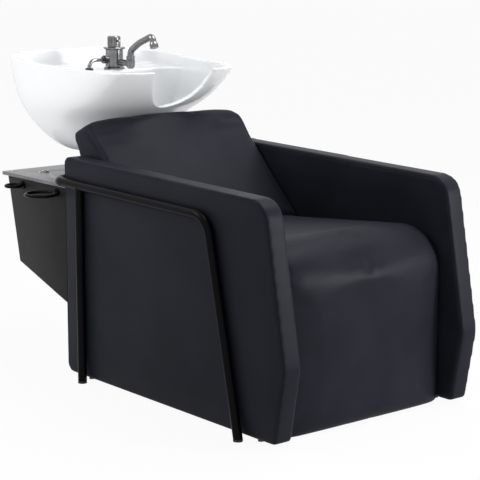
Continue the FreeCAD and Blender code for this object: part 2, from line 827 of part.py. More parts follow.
def build_tilt_hinge():
    """Fixed ears with their pin, and the cradle that turns on it under the bowl."""
    ear_corners = [
        (hinge_base_rear_f, plate_top_z, 0),
        (hinge_base_front_f, plate_top_z, 0),
        (hinge_base_front_f, plate_top_z + hinge_base_thick, 0),
        (pivot_f + ear_r, pivot_z + ear_r, ear_r * eye_share),
        (pivot_f - ear_r, pivot_z + ear_r, ear_r * eye_share),
        (hinge_base_rear_f, plate_top_z + hinge_base_thick, 0),
    ]
    bore_x = ear_outer_x + through
    bore = rod(vec(-bore_x, pivot_f, pivot_z), vec(bore_x, pivot_f, pivot_z), pin_r + pin_run)
    ears = side_prism(ear_corners, ear_inner_x, ear_outer_x)
    base = block(-ear_outer_x, ear_outer_x, hinge_base_rear_f, hinge_base_front_f, plate_top_z,
                 plate_top_z + hinge_base_thick)
    parts["hinge_bracket"] = base.fuse(ears).fuse(mirrored(ears)).cut(bore).removeSplitter()
    pin_end_x = ear_outer_x + washer_play
    pin = rod(vec(-pin_end_x, pivot_f, pivot_z), vec(pin_end_x, pivot_f, pivot_z), pin_r)
    for side in (-1, 1):
        head = rod(vec(side * pin_end_x, pivot_f, pivot_z),
                   vec(side * (pin_end_x + pin_head_thick), pivot_f, pivot_z), pin_head_r)
        pin = pin.fuse(head)
    parts["hinge_pin"] = pin
    washers = []
    for side in (-1, 1):
        near = vec(side * (lug_outer_x + washer_play), pivot_f, pivot_z)
        far = vec(side * (lug_outer_x + washer_play + washer_thick), pivot_f, pivot_z)
        washers.append(rod(near, far, washer_r).cut(rod(near, far, pin_r + pin_run)))
    parts["friction_washers"] = group(washers)
    lug_corners = [
        (pivot_f - ear_r, pivot_z - ear_r, ear_r * eye_share),
        (pivot_f + ear_r, pivot_z - ear_r, ear_r * eye_share),
        (pivot_f + ear_r, cradle_bottom_z, 0),
        (pivot_f - ear_r, cradle_bottom_z, 0),
    ]
    lug = side_prism(lug_corners, lug_outer_x - lug_thick, lug_outer_x)
    plate = rounded_plate(cradle_half, cradle_rear_f, cradle_front_f, foot_corner_r,
                          cradle_bottom_z, cradle_top_z)
    waste_hole = upright(0, waste_f, 0, foot_z + foot_high, waste_tube_r + waste_fit)
    cradle = plate.fuse(lug).fuse(mirrored(lug)).cut(bore).cut(waste_hole)
    parts["tilt_cradle"] = cradle.removeSplitter()
    pad = rounded_plate(cradle_half, cradle_rear_f, cradle_front_f, foot_corner_r, cradle_top_z, foot_z)
    parts["cradle_pad"] = pad.cut(waste_hole)
    turn = math.radians(tilt_limit)
    low_f = cradle_rear_f + bumper_back - pivot_f
    low_z = cradle_bottom_z - pivot_z
    bumper_f = pivot_f + low_f * math.cos(turn) - low_z * math.sin(turn)
    bumper_low = low_f - bumper_r
    bumper_top_z = pivot_z + bumper_low * math.sin(turn) + low_z * math.cos(turn) - bumper_clear
    bumpers = [upright(x, bumper_f, plate_top_z, bumper_top_z, bumper_r) for x in (-bumper_x, bumper_x)]
    parts["tilt_bumpers"] = group(bumpers)


def bowl_ring(level, inset):
    """Level section of the bowl, wider behind and squarer ahead, drawn in by inset."""
    z, rear_f, front_f, half, square, front_square = level
    mid_f = (rear_f + front_f) / 2
    reach = (front_f - rear_f) / 2 - inset
    points = []
    for i in range(section_points):
        turn = 2 * math.pi * i / section_points - math.pi / 2
        c = math.cos(turn)
        s = math.sin(turn)
        power = 2 / (front_square if s > 0 else square)
        across = math.copysign(abs(c) ** power, c)
        along = math.copysign(abs(s) ** power, s)
        width = (half - inset) * (1 - bowl_taper * along)
        points.append(vec(width * across, mid_f + reach * along, z))
    curve = Part.BSplineCurve()
    curve.interpolate(Points=points, PeriodicFlag=True)
    return Part.Wire(curve.toShape())


def bowl_loft(levels, inset):
    """Solid through level sections of the bowl."""
    return Part.makeLoft([bowl_ring(level, inset) for level in levels], True, False)


def above_rim():
    """Space over the bowl's rim line, which rises towards the back."""
    curve = Part.BSplineCurve()
    wide = 2 * arm_outer_x
    curve.interpolate([vec(-arm_outer_x, f, z) for f, z in rim_points])
    rear_f, rear_z = rim_points[0]
    front_f, front_z = rim_points[-1]
    top_z = rear_z + rim_over
    edges = [
        curve.toShape(),
        Part.LineSegment(vec(-arm_outer_x, front_f, front_z), vec(-arm_outer_x, front_f, top_z)).toShape(),
        Part.LineSegment(vec(-arm_outer_x, front_f, top_z), vec(-arm_outer_x, rear_f, top_z)).toShape(),
        Part.LineSegment(vec(-arm_outer_x, rear_f, top_z), vec(-arm_outer_x, rear_f, rear_z)).toShape(),
    ]
    return Part.Face(Part.Wire(edges)).extrude(FreeCAD.Vector(wide, 0, 0))


def neck_notch():
    """Rounded U through the front wall for the sitter's neck."""
    depth = notch_top_z - notch_bottom_z
    centre = vec(0, notch_front_f, notch_top_z)
    axes = [FreeCAD.Vector(notch_half, 0, 0), FreeCAD.Vector(0, 0, -depth)]
    axes.sort(key=lambda axis: -axis.Length)
    ellipse = Part.Ellipse(centre.add(axes[0]), centre.add(axes[1]), centre)
    face = Part.Face(Part.Wire(ellipse.toShape()))
    return face.extrude(vec(0, notch_rear_f, 0).sub(vec(0, notch_front_f, 0)))


def level_at(z):
    """Bowl section at height z, between the rows of bowl_levels."""
    for low, high in zip(bowl_levels, bowl_levels[1:]):
        if low[0] <= z <= high[0]:
            share = (z - low[0]) / (high[0] - low[0])
            return tuple(a + share * (b - a) for a, b in zip(low, high))
    raise ValueError("height outside the bowl")


def basin_level(level):
    """Basin section over a row of bowl_levels: drawn in by the wall and lifted, most at the floor."""
    z, rear_f, front_f, half, square, front_square = level
    low_z = bowl_levels[0][0]
    inset = bowl_wall + basin_step
    lift = (basin_floor_z - low_z) * max(ledge_z - z, 0) / (ledge_z - low_z)
    return z + lift, rear_f + inset, front_f - inset, half - inset, square, front_square


def build_bowl():
    """Ceramic wash bowl with a raised rear rim, tap ledge, basin, neck notch and foot."""
    top_z = bowl_levels[-1][0]
    wide = 2 * arm_outer_x
    far_f = 2 * rim_points[0][0]
    outer = bowl_loft(bowl_levels, 0)
    foot = rounded_plate(foot_half, foot_rear_f, foot_front_f, foot_corner_r, foot_z, foot_z + foot_high)
    over_ledge = block(-wide, wide, far_f, wide, ledge_z, top_z + rim_over)
    upper = bowl_loft(bowl_levels, bowl_wall).common(over_ledge)
    below_ledge = [level for level in bowl_levels if level[0] < ledge_z]
    levels = [basin_level(level) for level in below_ledge + [level_at(ledge_z + basin_step)]]
    ahead = rounded_plate(basin_rear_half, ledge_front_f, wide, basin_rear_corner_r, 0, top_z)
    basin = bowl_loft(levels, 0).common(ahead)
    bowl = outer.fuse(foot).cut(upper).cut(basin).cut(above_rim()).cut(neck_notch())
    behind = block(-wide, wide, far_f, recess_front_f, recess_low_z, ledge_low_z)
    mouth = block(-recess_mouth_half, recess_mouth_half, recess_mouth_rear_f, recess_mouth_front_f, 0,
                  recess_low_z + through)
    bowl = bowl.cut(bowl_loft(bowl_levels, recess_wall).common(behind)).cut(mouth)
    bowl = bowl.cut(upright(0, waste_f, 0, basin_floor_z + through, waste_tube_r + waste_fit))
    bowl = bowl.cut(upright(tap_x, tap_f, ledge_low_z - through, ledge_z + through, shank_r + shank_fit))
    bowl = bowl.cut(upright(elbow_x, tap_f, ledge_low_z - through, ledge_z + through, gland_hole_r))
    parts["bowl"] = bowl


def build_waste():
    """Strainer flange, gasket, back nut and tail pipe of the bowl's waste."""
    gasket_top_z = basin_floor_z + waste_gasket_thick
    disc_top_z = gasket_top_z + waste_disc_thick
    flange_profile = [
        (0, disc_top_z - waste_dish),
        (waste_dish_r, disc_top_z - waste_dish),
        (waste_lip_in_r, disc_top_z),
        (waste_lip_r, disc_top_z),
        (waste_disc_r, gasket_top_z),
        (waste_tube_r, gasket_top_z),
        (waste_tube_r, waste_tube_low_z),
        (waste_bore_r, waste_tube_low_z),
        (waste_bore_r, gasket_top_z - waste_dish),
        (0, gasket_top_z - waste_dish),
    ]
    flange = turned(flange_profile, 0, waste_f)
    for i in range(strainer_holes):
        turn = 2 * math.pi * i / strainer_holes
        x = strainer_pitch_r * math.cos(turn)
        f = waste_f + strainer_pitch_r * math.sin(turn)
        flange = flange.cut(upright(x, f, waste_tube_low_z, disc_top_z, strainer_hole_r))
    parts["waste_strainer"] = flange
    ring = upright(0, waste_f, basin_floor_z, gasket_top_z, waste_lip_r)
    parts["waste_gasket"] = ring.cut(upright(0, waste_f, basin_floor_z, gasket_top_z, waste_tube_r))
    nut_low = vec(0, waste_f, cradle_bottom_z - waste_nut_high)
    nut = hex_bar(nut_low, vec(0, waste_f, cradle_bottom_z), waste_nut_across)
    parts["waste_nut"] = nut.cut(upright(0, waste_f, 0, cradle_bottom_z, waste_tube_r))
    tail = upright(0, waste_f, waste_tail_low_z, waste_tube_low_z, waste_tail_r)
    parts["waste_tail"] = tail.cut(upright(0, waste_f, waste_tail_low_z, waste_tube_low_z, waste_bore_r))


def build_mixer():
    """Mixer body with its holder arm, cartridge, collar, knob, fixings and inlet tails."""
    body_profile = [
        (0, shank_low_z),
        (shank_r, shank_low_z),
        (shank_r, ledge_z),
        (base_flange_r, ledge_z),
        (base_flange_r, ledge_z + base_flange_high - edge_break),
        (base_flange_r - base_flange_slope, ledge_z + base_flange_high),
        (body_r, ledge_z + base_flange_high + edge_break),
        (body_r, body_top_z),
        (cartridge_r, body_top_z),
        (cartridge_r, cartridge_low_z),
        (0, cartridge_low_z),
    ]
    body = turned(body_profile, tap_x, tap_f)
    arm = rod(vec(tap_x, tap_f + cartridge_r + edge_break, arm_z), vec(tap_x, holder_f, arm_z), arm_r)
    holder = upright(tap_x, holder_f, arm_z - holder_half, holder_top_z, holder_r)
    bore = upright(tap_x, holder_f, arm_z - holder_half, holder_top_z, swivel_r + swivel_run)
    cavity = upright(tap_x, tap_f, cartridge_low_z, body_top_z, cartridge_r)
    body = body.fuse(arm).fuse(holder).cut(bore).cut(cavity)
    inlets = []
    for side in (-1, 1):
        x = tap_x + side * inlet_pitch / 2
        inlets.append(upright(x, tap_f, inlet_low_z, shank_low_z, inlet_r))
    parts["mixer_body"] = body.removeSplitter()
    parts["inlet_tails"] = group(inlets)
    nut_top = vec(tap_x, tap_f, ledge_low_z)
    nut = hex_bar(vec(tap_x, tap_f, ledge_low_z - shank_nut_high), nut_top, shank_nut_across)
    parts["mixer_nut"] = nut.cut(upright(tap_x, tap_f, shank_low_z, ledge_z, shank_r))
    cartridge_top_z = collar_top_z
    cartridge = upright(tap_x, tap_f, cartridge_low_z, cartridge_top_z, cartridge_r - cartridge_fit)
    parts["mixer_cartridge"] = cartridge
    collar_profile = [
        (cartridge_r, body_top_z),
        (body_r, body_top_z),
        (collar_r, body_top_z + base_flange_slope),
        (collar_r, collar_top_z - edge_break),
        (collar_r - edge_break, collar_top_z),
        (cartridge_r, collar_top_z),
    ]
    parts["mixer_collar"] = turned(collar_profile, tap_x, tap_f)
    build_knob()


def build_knob():
    """Fluted temperature knob on its spindle, with a short side lever."""
    knob_profile = [
        (spindle_r, knob_low_z),
        (knob_r - edge_break, knob_low_z),
        (knob_r, knob_low_z + edge_break),
        (knob_r, knob_top_z - knob_round),
        (knob_r - knob_round, knob_top_z),
        (0, knob_top_z),
        (0, knob_top_z - spindle_below_top),
        (spindle_r, knob_top_z - spindle_below_top),
    ]
    knob = turned(knob_profile, tap_x, tap_f)
    cuts = []
    for i in range(knob_flutes):
        turn = 2 * math.pi * (i + 0.5) / knob_flutes
        x = tap_x + knob_r * math.cos(turn)
        f = tap_f + knob_r * math.sin(turn)
        cuts.append(upright(x, f, knob_low_z - through, knob_top_z - flute_below_top, flute_r))
    lever_z = knob_top_z - lever_below_top
    lever_seat = vec(tap_x, tap_f + knob_r - lever_sunk, lever_z)
    lever = rod(lever_seat, vec(tap_x, tap_f + knob_r + lever_long, lever_z), lever_r)
    parts["mixer_knob"] = knob.cut(group(cuts)).cut(lever)
    parts["knob_lever"] = lever
    parts["knob_spindle"] = upright(tap_x, tap_f, knob_low_z, knob_top_z - spindle_below_top, spindle_r)


def build_elbow():
    """Rigid chrome elbow from the mixer down through the ledge, with its nut and gland."""
    nut_end_x = tap_x - body_r - elbow_nut_long
    nut_start = vec(tap_x - body_r + elbow_nut_sunk, tap_f, elbow_z)
    nut = hex_bar(nut_start, vec(nut_end_x, tap_f, elbow_z), elbow_nut_across)
    nut = nut.cut(upright(tap_x, tap_f, ledge_z, body_top_z, body_r))
    parts["elbow_nut"] = nut
    route = [
        vec(nut_end_x, tap_f, elbow_z),
        vec(elbow_x, tap_f, elbow_z),
        vec(elbow_x, tap_f, elbow_low_z),
    ]
    parts["outlet_elbow"] = swept(route, [elbow_bend_r], elbow_r)
    gland = upright(elbow_x, tap_f, ledge_z, ledge_z + gland_high, gland_r)
    gland = gland.fuse(upright(elbow_x, tap_f, ledge_low_z, ledge_z, gland_neck_r))
    bore = upright(elbow_x, tap_f, ledge_low_z, ledge_z + gland_high, elbow_r + gland_fit)
    parts["elbow_gland"] = gland.cut(bore)


def build_handset():
    """Swivel socket, curved handset and spray head."""
    holder_low_z = arm_z - holder_half
    cup_floor_z = socket_top_z - plug_deep
    socket_profile = [
        (0, holder_low_z - spigot_below),
        (swivel_r, holder_low_z - spigot_below),
        (swivel_r, socket_low_z),
        (socket_r - edge_break, socket_low_z),
        (socket_r, socket_low_z + edge_break),
        (socket_r, socket_top_z),
        (plug_r + plug_fit, socket_top_z),
        (plug_r + plug_fit, cup_floor_z),
        (0, cup_floor_z),
    ]
    socket = turned(socket_profile, tap_x, holder_f)
    clip_top_z = holder_low_z - socket_gap
    clip = upright(tap_x, holder_f, clip_top_z - clip_thick, clip_top_z, clip_r)
    parts["handset_socket"] = socket.fuse(clip).removeSplitter()
    plug_low_z = cup_floor_z + plug_fit
    neck_z = socket_top_z + plug_fit
    knee_z = neck_z + grip_rise
    crest_f = holder_f + grip_reach
    crest_z = knee_z + grip_climb
    route = [
        vec(tap_x, holder_f, neck_z),
        vec(tap_x, holder_f, knee_z),
        vec(tap_x, holder_f + grip_mid_reach, knee_z + grip_mid_climb),
        vec(tap_x, crest_f, crest_z),
        vec(tap_x, crest_f + head_dip_reach, crest_z - head_dip),
    ]
    grip = swept(route, [grip_bend_r, grip_mid_bend_r, head_bend_r], grip_r)
    plug = upright(tap_x, holder_f, plug_low_z, neck_z, plug_r)
    parts["handset_grip"] = grip.fuse(plug)
    head_top = route[-1]
    aim = route[-1].sub(route[-2]).normalize()
    neck_long = spray_long * spray_neck_share
    shoulder = head_top.add(FreeCAD.Vector(aim).multiply(neck_long))
    head_end = head_top.add(FreeCAD.Vector(aim).multiply(spray_long))
    head = Part.makeCone(spray_neck_r, spray_r, neck_long, head_top, aim)
    head = head.fuse(Part.makeCylinder(spray_r, spray_long - neck_long, shoulder, aim))
    parts["spray_head"] = head.removeSplitter()
    parts["spray_face"] = Part.makeCylinder(spray_face_r, spray_face_thick, head_end, aim)


def main():
    """Build every piece and write one file for each."""
    build_arms()
    build_tube_frame()
    build_seat()
    build_back()
    build_cabinet()
    build_tool_rings()
    build_stand()
    build_tilt_hinge()
    build_bowl()
    build_waste()
    build_mixer()
    build_elbow()
    build_handset()
    os.makedirs("parts", exist_ok=True)
    for name, shape in parts.items():
        shape.exportStep("parts/" + name + ".step")
        print(name, len(shape.Solids), shape.isValid(), round(shape.Volume / 1000.0, 1))
    print("nodes", len(parts))


main()
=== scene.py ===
"""Looks of a salon backwash unit: leather pads, glazed bowl, coated metal, studio and camera.

Metres, +Z up. The sitter faces -Y and the near side in the picture is -X.
"""

import json
import logging
import math
from dataclasses import dataclass
from enum import Enum
from typing import Any, Callable, Dict, List, Sequence, Tuple

import bpy
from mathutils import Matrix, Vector
from mathutils.kdtree import KDTree

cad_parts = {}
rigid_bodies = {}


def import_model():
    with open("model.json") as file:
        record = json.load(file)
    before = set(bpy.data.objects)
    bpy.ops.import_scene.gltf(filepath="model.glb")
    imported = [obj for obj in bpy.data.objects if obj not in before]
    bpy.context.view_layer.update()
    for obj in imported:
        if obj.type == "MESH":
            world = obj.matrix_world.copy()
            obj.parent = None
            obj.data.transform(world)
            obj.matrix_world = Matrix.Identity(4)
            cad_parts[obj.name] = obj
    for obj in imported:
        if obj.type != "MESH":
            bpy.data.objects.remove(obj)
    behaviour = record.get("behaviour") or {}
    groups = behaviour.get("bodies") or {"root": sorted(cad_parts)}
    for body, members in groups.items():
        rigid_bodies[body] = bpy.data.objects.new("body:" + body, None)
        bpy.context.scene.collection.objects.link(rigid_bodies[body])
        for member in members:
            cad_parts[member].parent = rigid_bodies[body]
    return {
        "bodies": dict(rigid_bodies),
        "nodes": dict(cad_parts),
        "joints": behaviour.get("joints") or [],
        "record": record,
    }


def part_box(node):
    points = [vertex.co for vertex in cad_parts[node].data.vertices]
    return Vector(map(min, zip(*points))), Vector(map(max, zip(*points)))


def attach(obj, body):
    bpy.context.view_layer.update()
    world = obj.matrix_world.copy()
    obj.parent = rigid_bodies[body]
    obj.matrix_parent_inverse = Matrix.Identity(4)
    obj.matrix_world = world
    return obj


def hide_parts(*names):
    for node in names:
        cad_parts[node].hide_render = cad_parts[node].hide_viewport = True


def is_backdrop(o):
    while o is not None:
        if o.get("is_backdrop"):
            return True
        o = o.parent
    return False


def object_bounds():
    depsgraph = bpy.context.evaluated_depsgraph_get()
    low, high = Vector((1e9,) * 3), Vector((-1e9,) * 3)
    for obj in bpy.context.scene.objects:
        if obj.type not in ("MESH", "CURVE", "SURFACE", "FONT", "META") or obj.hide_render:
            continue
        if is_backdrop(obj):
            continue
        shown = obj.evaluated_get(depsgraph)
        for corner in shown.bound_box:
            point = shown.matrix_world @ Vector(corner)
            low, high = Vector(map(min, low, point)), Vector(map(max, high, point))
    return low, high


log = logging.getLogger("backwash_unit")

Colour = Tuple[float, float, float]
Corner = Tuple[float, float, float]
Place = Tuple[float, float]

SAME_PLACE = 1e-6
MERGE_DISTANCE = 1e-5
LEAST_CORNER_R = 0.004
CLOTH_FRAMES = 20
WELT_STRIDE = 3
CREASE_REACH = 3
SOFT_SHADING = 60.0
LEATHER_CLOTH: Dict[str, float] = {
    "quality": 4,
    "mass": 0.4,
    "tension_stiffness": 25.0,
    "compression_stiffness": 25.0,
    "bending_stiffness": 4.0,
}


class Side(Enum):
    """The two sides of the chair, as the sign of X."""

    LEFT = 1
    RIGHT = -1


class Shader:
    """One procedural material under construction."""

    tint_stops: Place = (0.3, 0.7)

    def __init__(self, name: str) -> None:
        """Start a material with a plain surface shader.

        Args:
            name: Name of the material.
        """
        self.material = bpy.data.materials.new(name)
        self.material.use_nodes = True
        self.tree = self.material.node_tree
        self.surface = self.tree.nodes["Principled BSDF"]
        self.place = self.tree.nodes.new("ShaderNodeTexCoord").outputs["Object"]

    def set(self, **sockets: Any) -> None:
        """Set constants on the surface shader.

        Args:
            sockets: Value of each socket, with _ for a space in its name.
        """
        for name, value in sockets.items():
            socket = self.surface.inputs[name.replace("_", " ")]
            socket.default_value = (*value, 1.0) if isinstance(value, tuple) else value

    def node(self, kind: str, inputs: Dict[str, Any], **settings: Any) -> bpy.types.Node:
        """Add a node.

        Args:
            kind: Type name of the node.
            inputs: Constant or output socket for each named input.
            settings: Properties of the node.

        Returns:
            The new node.
        """
        made = self.tree.nodes.new(kind)
        for name, value in settings.items():
            setattr(made, name, value)
        for name, value in inputs.items():
            if isinstance(value, bpy.types.NodeSocket):
                self.tree.links.new(value, made.inputs[name])
            else:
                made.inputs[name].default_value = value
        return made

    def stretched(self, scale: Tuple[float, float, float]) -> bpy.types.NodeSocket:
        """Object coordinates with a scale along each axis."""
        return self.node("ShaderNodeMapping", {"Vector": self.place, "Scale": scale}).outputs["Vector"]

    def noise(self, scale: float, detail: float = 3.0, place: Any = None) -> bpy.types.NodeSocket:
        """Grey noise with the given number of waves to the metre."""
        inputs = {"Vector": self.place if place is None else place, "Scale": scale, "Detail": detail}
        return self.node("ShaderNodeTexNoise", inputs).outputs["Fac"]

    def cells(self, scale: float) -> bpy.types.NodeSocket:
        """Distance to the middle of the nearest of many small cells."""
        return self.node("ShaderNodeTexVoronoi", {"Vector": self.place, "Scale": scale}).outputs["Distance"]

    def tint(self, value: bpy.types.NodeSocket, dark: Colour, light: Colour) -> None:
        """Run the base colour from dark to light with a value.

        Args:
            value: Grey value from 0 to 1.
            dark: Colour at low values.
            light: Colour at high values.
        """
        ramp = self.node("ShaderNodeValToRGB", {"Fac": value})
        for stop, at, colour in zip(ramp.color_ramp.elements, self.tint_stops, (dark, light)):
            stop.position = at
            stop.color = (*colour, 1.0)
        self.tree.links.new(ramp.outputs["Color"], self.surface.inputs["Base Color"])

    def gloss(self, value: bpy.types.NodeSocket, low: float, high: float) -> None:
        """Run the roughness from low to high with a value."""
        span = self.node("ShaderNodeMapRange", {"Value": value, "To Min": low, "To Max": high})
        self.tree.links.new(span.outputs["Result"], self.surface.inputs["Roughness"])

    def relief(self, value: bpy.types.NodeSocket, strength: float, height: float) -> None:
        """Raise the surface by a value, over any relief that is there.

        Args:
            value: Grey value that lifts the surface.
            strength: Share of the relief that shows.
            height: Height of a full lift.
        """
        bump = self.node("ShaderNodeBump", {"Height": value, "Strength": strength, "Distance": height})
        normal = self.surface.inputs["Normal"]
        if normal.is_linked:
            self.tree.links.new(normal.links[0].from_socket, bump.inputs["Normal"])
        self.tree.links.new(bump.outputs["Normal"], normal)


@dataclass(frozen=True)
class Finish:
    """A surface finish.

    The colour runs from dark to light over patches to the metre, and the roughness from smooth to rough. The
    grain has a count to the metre, a strength and a height. Constants are set on the shader's own sockets.
    """

    dark: Colour
    light: Colour
    patches: float
    smooth: float
    rough: float
    grain: float
    grain_strength: float
    grain_height: float
    constants: Tuple[Tuple[str, Any], ...] = ()
    pebbled: bool = False
    stretch: Tuple[float, float, float] = (1.0, 1.0, 1.0)
    gloss_patches: float = 5.0
    wrinkles: float = 6.0
    wrinkle_height: float = 2.0

    def material(self, name: str) -> bpy.types.Material:
        """Build the finish.

        Args:
            name: Name of the material.

        Returns:
            The new material.
        """
        shader = Shader(name)
        shader.set(**dict(self.constants))
        place = shader.stretched(self.stretch)
        patches = shader.noise(self.patches, place=place)
        shader.tint(patches, self.dark, self.light)
        shader.gloss(shader.noise(self.patches * self.gloss_patches, place=place), self.smooth, self.rough)
        if self.pebbled:
            wrinkles = shader.noise(self.patches * self.wrinkles)
            shader.relief(wrinkles, self.grain_strength, self.grain_height * self.wrinkle_height)
            shader.relief(shader.cells(self.grain), self.grain_strength, self.grain_height)
        else:
            shader.relief(shader.noise(self.grain, place=place), self.grain_strength, self.grain_height)
        return shader.material


FINISHES: Dict[str, Finish] = {
    "black_leather": Finish(
        dark=(0.0126, 0.0134, 0.0190), light=(0.0168, 0.0178, 0.0250), patches=7.0, smooth=0.36, rough=0.46,
        grain=900.0, grain_strength=0.16, grain_height=0.0003, pebbled=True,
        constants=(("Specular_IOR_Level", 0.05),)),
    "plywood": Finish(
        dark=(0.42, 0.29, 0.16), light=(0.60, 0.44, 0.27), patches=6.0, smooth=0.55, rough=0.7,
        grain=220.0, grain_strength=0.2, grain_height=0.0003, stretch=(1.0, 1.0, 12.0)),
    "gloss_black_tube": Finish(
        dark=(0.0026, 0.0026, 0.0030), light=(0.0040, 0.0040, 0.0046), patches=12.0, smooth=0.18, rough=0.26,
        grain=420.0, grain_strength=0.04, grain_height=0.0002, constants=(("Specular_IOR_Level", 0.05),)),
    "black_rubber": Finish(
        dark=(0.010, 0.010, 0.010), light=(0.018, 0.018, 0.018), patches=40.0, smooth=0.7, rough=0.85,
        grain=1500.0, grain_strength=0.3, grain_height=0.0002),
    "charcoal_board": Finish(
        dark=(0.0095, 0.0095, 0.0105), light=(0.0135, 0.0135, 0.0150), patches=25.0, smooth=0.40, rough=0.52,
        grain=1400.0, grain_strength=0.12, grain_height=0.0002, constants=(("Specular_IOR_Level", 0.11),)),
    "grey_plate": Finish(
        dark=(0.125, 0.130, 0.140), light=(0.158, 0.163, 0.173), patches=9.0, smooth=0.26, rough=0.38,
        grain=700.0, grain_strength=0.06, grain_height=0.0002, constants=(("Metallic", 0.35),),
        stretch=(1.0, 14.0, 1.0)),
    "chrome": Finish(
        dark=(0.16, 0.16, 0.165), light=(0.24, 0.24, 0.245), patches=30.0, smooth=0.07, rough=0.14,
        grain=260.0, grain_strength=0.02, grain_height=0.0003, constants=(("Metallic", 1.0),)),
    "zinc_steel": Finish(
        dark=(0.40, 0.41, 0.42), light=(0.56, 0.57, 0.58), patches=60.0, smooth=0.28, rough=0.45,
        grain=500.0, grain_strength=0.08, grain_height=0.0002, constants=(("Metallic", 1.0),)),
    "black_steel": Finish(
        dark=(0.013, 0.013, 0.014), light=(0.020, 0.020, 0.021), patches=18.0, smooth=0.35, rough=0.5,
        grain=800.0, grain_strength=0.1, grain_height=0.0002),
    "white_ceramic": Finish(
        dark=(0.80, 0.815, 0.835), light=(0.84, 0.85, 0.865), patches=4.0, smooth=0.16, rough=0.24,
        grain=45.0, grain_strength=0.02, grain_height=0.0006,
        constants=(("Coat_Weight", 0.35), ("Coat_Roughness", 0.10))),
    "grey_plastic": Finish(
        dark=(0.25, 0.26, 0.27), light=(0.31, 0.32, 0.33), patches=20.0, smooth=0.4, rough=0.55,
        grain=1200.0, grain_strength=0.1, grain_height=0.0002),
    "brass": Finish(
        dark=(0.52, 0.37, 0.16), light=(0.64, 0.47, 0.22), patches=40.0, smooth=0.25, rough=0.4,
        grain=600.0, grain_strength=0.06, grain_height=0.0002, constants=(("Metallic", 1.0),)),
}


def deselect_all() -> None:
    """Clear the selection, so that an operator acts on nothing by chance."""
    if bpy.context.object and bpy.context.object.mode != "OBJECT":
        bpy.ops.object.mode_set(mode="OBJECT")
    bpy.ops.object.select_all(action="DESELECT")


def take(piece: bpy.types.Object) -> None:
    """Make a piece the only selected and active one.

    Args:
        piece: The piece that the next operators act on.
    """
    deselect_all()
    piece.select_set(True)
    bpy.context.view_layer.objects.active = piece


def apply_modifier(piece: bpy.types.Object, kind: str, **settings: Any) -> None:
    """Add a modifier and apply it at once.

    Args:
        piece: The piece that it changes.
        kind: Type name of the modifier.
        settings: Properties of the modifier.
    """
    take(piece)
    modifier = piece.modifiers.new(kind.title(), kind)
    for name, value in settings.items():
        setattr(modifier, name, value)
    bpy.ops.object.modifier_apply(modifier=modifier.name)


def smooth_shaded(piece: bpy.types.Object, angle: float = 35.0) -> None:
    """Shade a piece smooth up to an angle between faces, in degrees."""
    take(piece)
    bpy.ops.object.shade_smooth_by_angle(angle=math.radians(angle))


def rounded_outline(corners: Sequence[Corner], steps: int = 8) -> List[Place]:
    """Walk round a closed outline with arcs at its corners.

    Args:
        corners: Rows of along, up and corner radius.
        steps: Points on each arc.

    Returns:
        The places on the outline, in order.
    """
    places: List[Place] = []
    count = len(corners)
    for i, (along, up, radius) in enumerate(corners):
        corner = Vector((along, up))
        before = (Vector(corners[i - 1][:2]) - corner).normalized()
        after = (Vector(corners[(i + 1) % count][:2]) - corner).normalized()
        half = before.angle(after) / 2
        centre = corner + (before + after).normalized() * (radius / math.sin(half))
        start = corner + before * (radius / math.tan(half)) - centre
        end = corner + after * (radius / math.tan(half)) - centre
        turn = start.angle_signed(end) if radius else 0.0
        for step in range(steps + 1 if radius else 1):
            share = -turn * step / steps
            c, s = math.cos(share), math.sin(share)
            places.append((centre.x + c * start.x - s * start.y, centre.y + s * start.x + c * start.y))
    return places


def inset_corners(corners: Sequence[Corner], distance: float) -> List[Corner]:
    """Move every side of a convex outline inwards.

    Args:
        corners: Rows of along, up and corner radius.
        distance: How far the sides move.

    Returns:
        The rows of the smaller outline.
    """
    middle = sum((Vector(c[:2]) for c in corners), Vector((0, 0))) / len(corners)
    lines = []
    for i, corner in enumerate(corners):
        start = Vector(corner[:2])
        run = (Vector(corners[(i + 1) % len(corners)][:2]) - start).normalized()
        inward = Vector((-run.y, run.x))
        if inward.dot(middle - start) < 0:
            inward.negate()
        lines.append((start + inward * distance, run))
    moved: List[Corner] = []
    for i, corner in enumerate(corners):
        (p, u), (q, w) = lines[i - 1], lines[i]
        reach = (q - p).cross(w) / u.cross(w)
        spot = p + u * reach
        moved.append((spot.x, spot.y, max(corner[2] - distance, LEAST_CORNER_R)))
    return moved


def slab(name: str, outline: Sequence[Place], x0: float, x1: float) -> bpy.types.Object:
    """Carry a side outline across from x0 to x1.

    Args:
        name: Name of the piece.
        outline: Places along Y and Z.
        x0: Lower end.
        x1: Upper end.

    Returns:
        A closed mesh at the origin.
    """
    deselect_all()
    bpy.ops.mesh.primitive_circle_add(vertices=len(outline), fill_type="NGON", location=(0, 0, 0))
    piece = bpy.context.object
    piece.name = name
    for vertex, (along, up) in zip(piece.data.vertices, outline):
        vertex.co = (x0, along, up)
    bpy.ops.object.mode_set(mode="EDIT")
    bpy.ops.mesh.select_all(action="SELECT")
    bpy.ops.mesh.extrude_region_move(TRANSFORM_OT_translate={"value": (x1 - x0, 0, 0)})
    bpy.ops.mesh.select_all(action="SELECT")
    bpy.ops.mesh.normals_make_consistent(inside=False)
    bpy.ops.object.mode_set(mode="OBJECT")
    return piece


